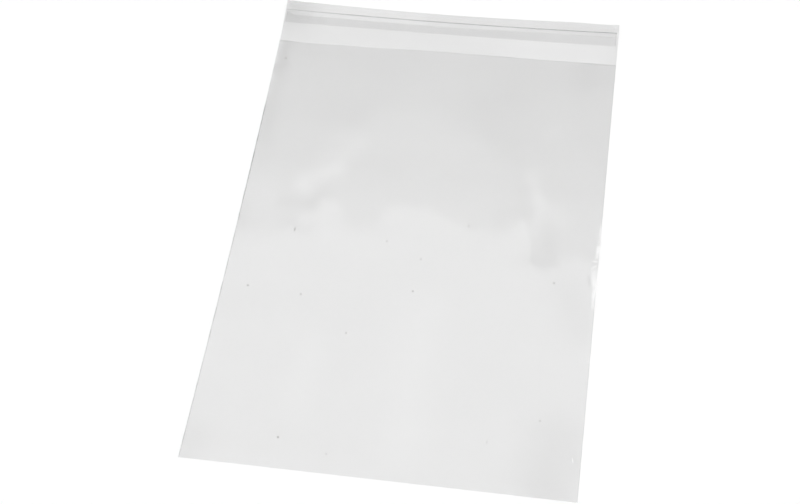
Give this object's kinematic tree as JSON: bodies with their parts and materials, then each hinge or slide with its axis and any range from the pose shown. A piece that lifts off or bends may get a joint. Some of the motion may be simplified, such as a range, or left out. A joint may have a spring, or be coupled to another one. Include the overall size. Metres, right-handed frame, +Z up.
{
  "type": "cellophane bag",
  "caption": "Clear film bag, folded at the bottom and welded at the sides, with an open self-seal flap that carries an adhesive strip under a release liner.",
  "frame": {"origin": "on the table, under the middle of the bag with its flap opened out", "axes": "+X across the bag, +Y from the bottom fold to the flap, +Z up off the table, out of the front panel"},
  "size_m": [0.225, 0.338, 0.003],
  "materials": {
    "clear_film": "glossy, clear",
    "clear_adhesive": "clear, soft sheen",
    "liner_film": "glossy, clear"
  },
  "bodies": {
    "root": {"film_bag": "clear_film", "adhesive_strip": "clear_adhesive", "release_liner": "liner_film"}
  },
  "joints": []
}
